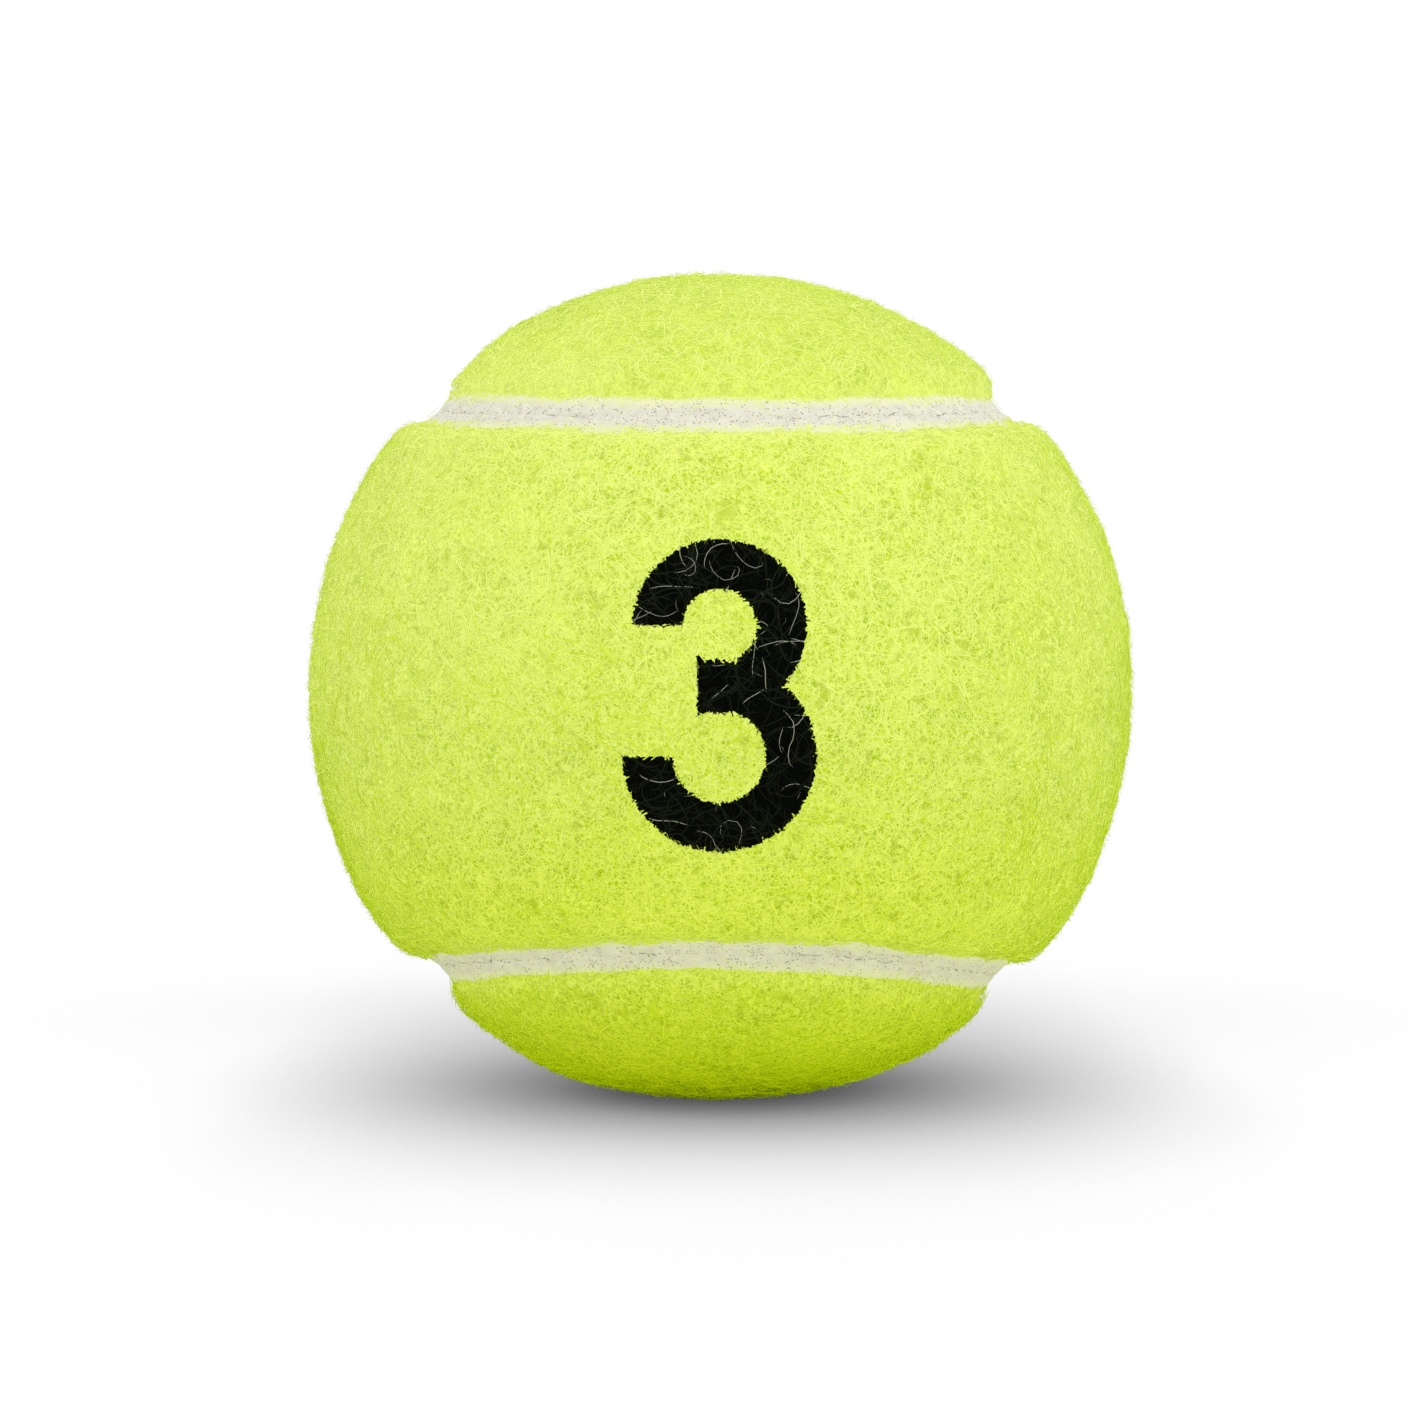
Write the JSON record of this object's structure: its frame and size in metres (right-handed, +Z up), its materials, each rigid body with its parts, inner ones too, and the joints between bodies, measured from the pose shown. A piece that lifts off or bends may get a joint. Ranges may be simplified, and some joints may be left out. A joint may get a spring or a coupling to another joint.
{
  "type": "tennis ball",
  "caption": "Hollow rubber ball covered in bright yellow felt: interlocking dumbbell-shaped panels meet at a recessed white rubber seam that winds round the ball.",
  "frame": {"origin": "centre of the ball", "axes": "+Z up, the ball rests on the point at -Z; the front panel's waist is centred on -Y with its round ends at +X and -X, and the rear panel's waist is centred on +Y with its round ends at +Z and -Z"},
  "size_m": [0.067, 0.067, 0.067],
  "materials": {
    "core_rubber": "dull moulded rubber",
    "cement": "dull dried rubber cement",
    "cotton_backing": "plain woven cotton",
    "felt_nap": "raised and matted wool and nylon nap, optic yellow",
    "seam_rubber": "matte off-white rubber with fine pores"
  },
  "bodies": {
    "root": {"core_half_upper": "core_rubber", "core_half_lower": "core_rubber", "core_joint_cement": "cement", "panel_cement_front": "cement", "panel_cement_rear": "cement", "felt_backing_front": "cotton_backing", "felt_backing_rear": "cotton_backing", "felt_nap_front": "felt_nap", "felt_nap_rear": "felt_nap", "seam_edge_front": "seam_rubber", "seam_edge_rear": "seam_rubber"}
  },
  "joints": []
}
